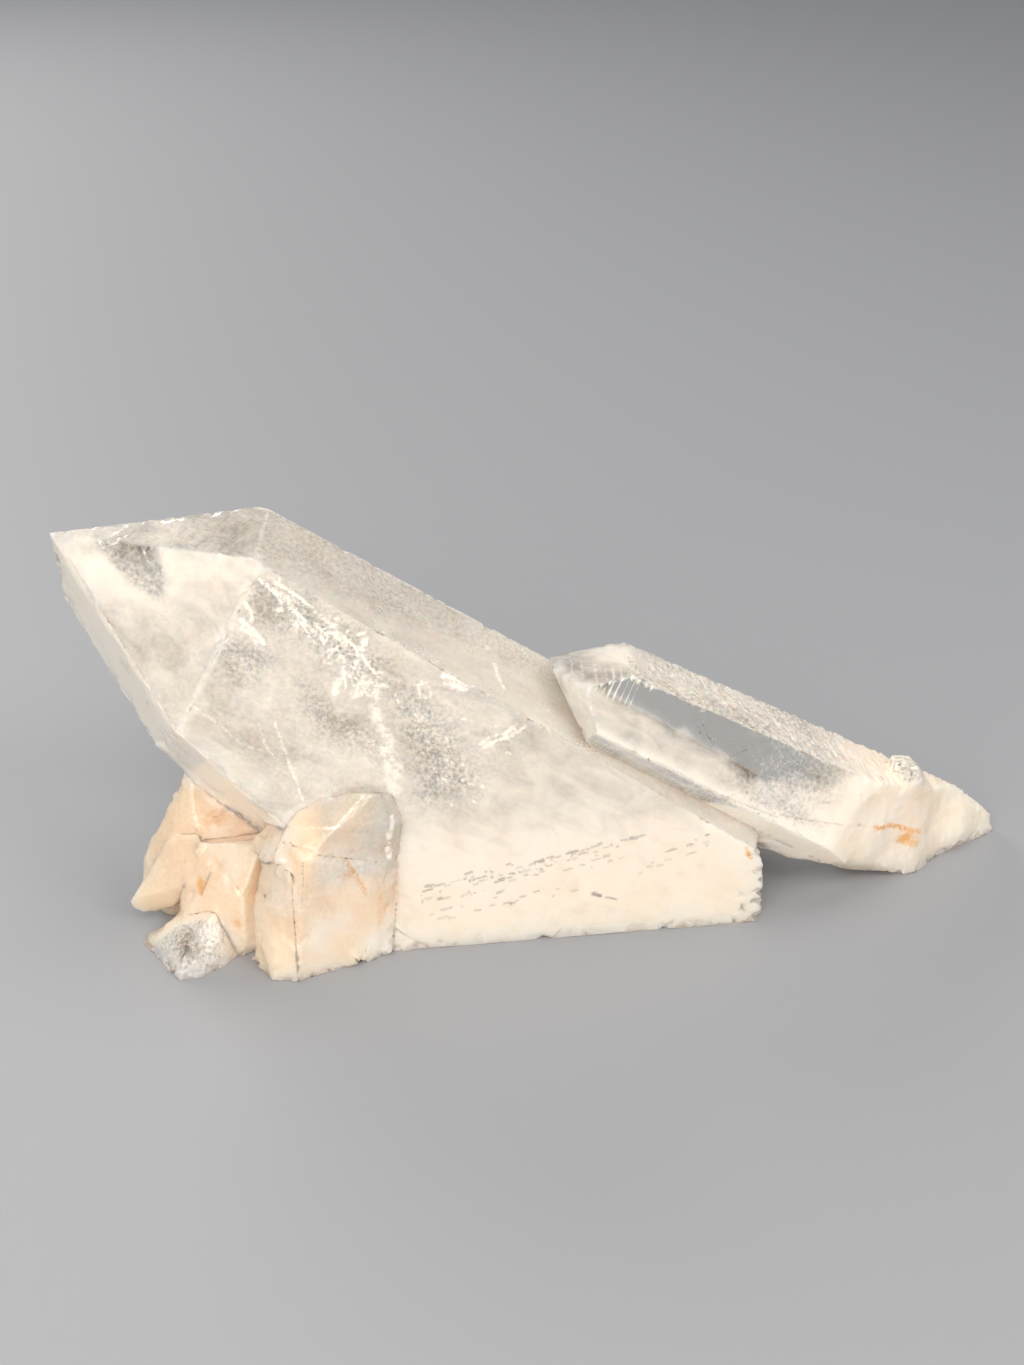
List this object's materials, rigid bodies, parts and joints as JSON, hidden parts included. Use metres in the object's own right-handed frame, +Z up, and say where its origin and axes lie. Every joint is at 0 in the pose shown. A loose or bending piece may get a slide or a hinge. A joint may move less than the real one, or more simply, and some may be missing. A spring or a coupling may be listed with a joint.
{
  "type": "quartz point",
  "caption": "Natural clear-to-milky quartz cluster: a long, pointed, faceted crystal lying at a slant, with side crystals and small peach-stained crystals grown on it.",
  "frame": {"origin": "middle of the footprint box, on the surface that the stone rests on", "axes": "+X along the stone's length, from the large crystal's point at -X to the broken root at +X; -Y is the front, with the large flat side face; +Z is up as it rests"},
  "size_m": [0.0942, 0.0312, 0.0415],
  "materials": {
    "quartz": "glossy, clear to milky"
  },
  "bodies": {
    "root": {"quartz_point": "quartz"}
  },
  "joints": []
}
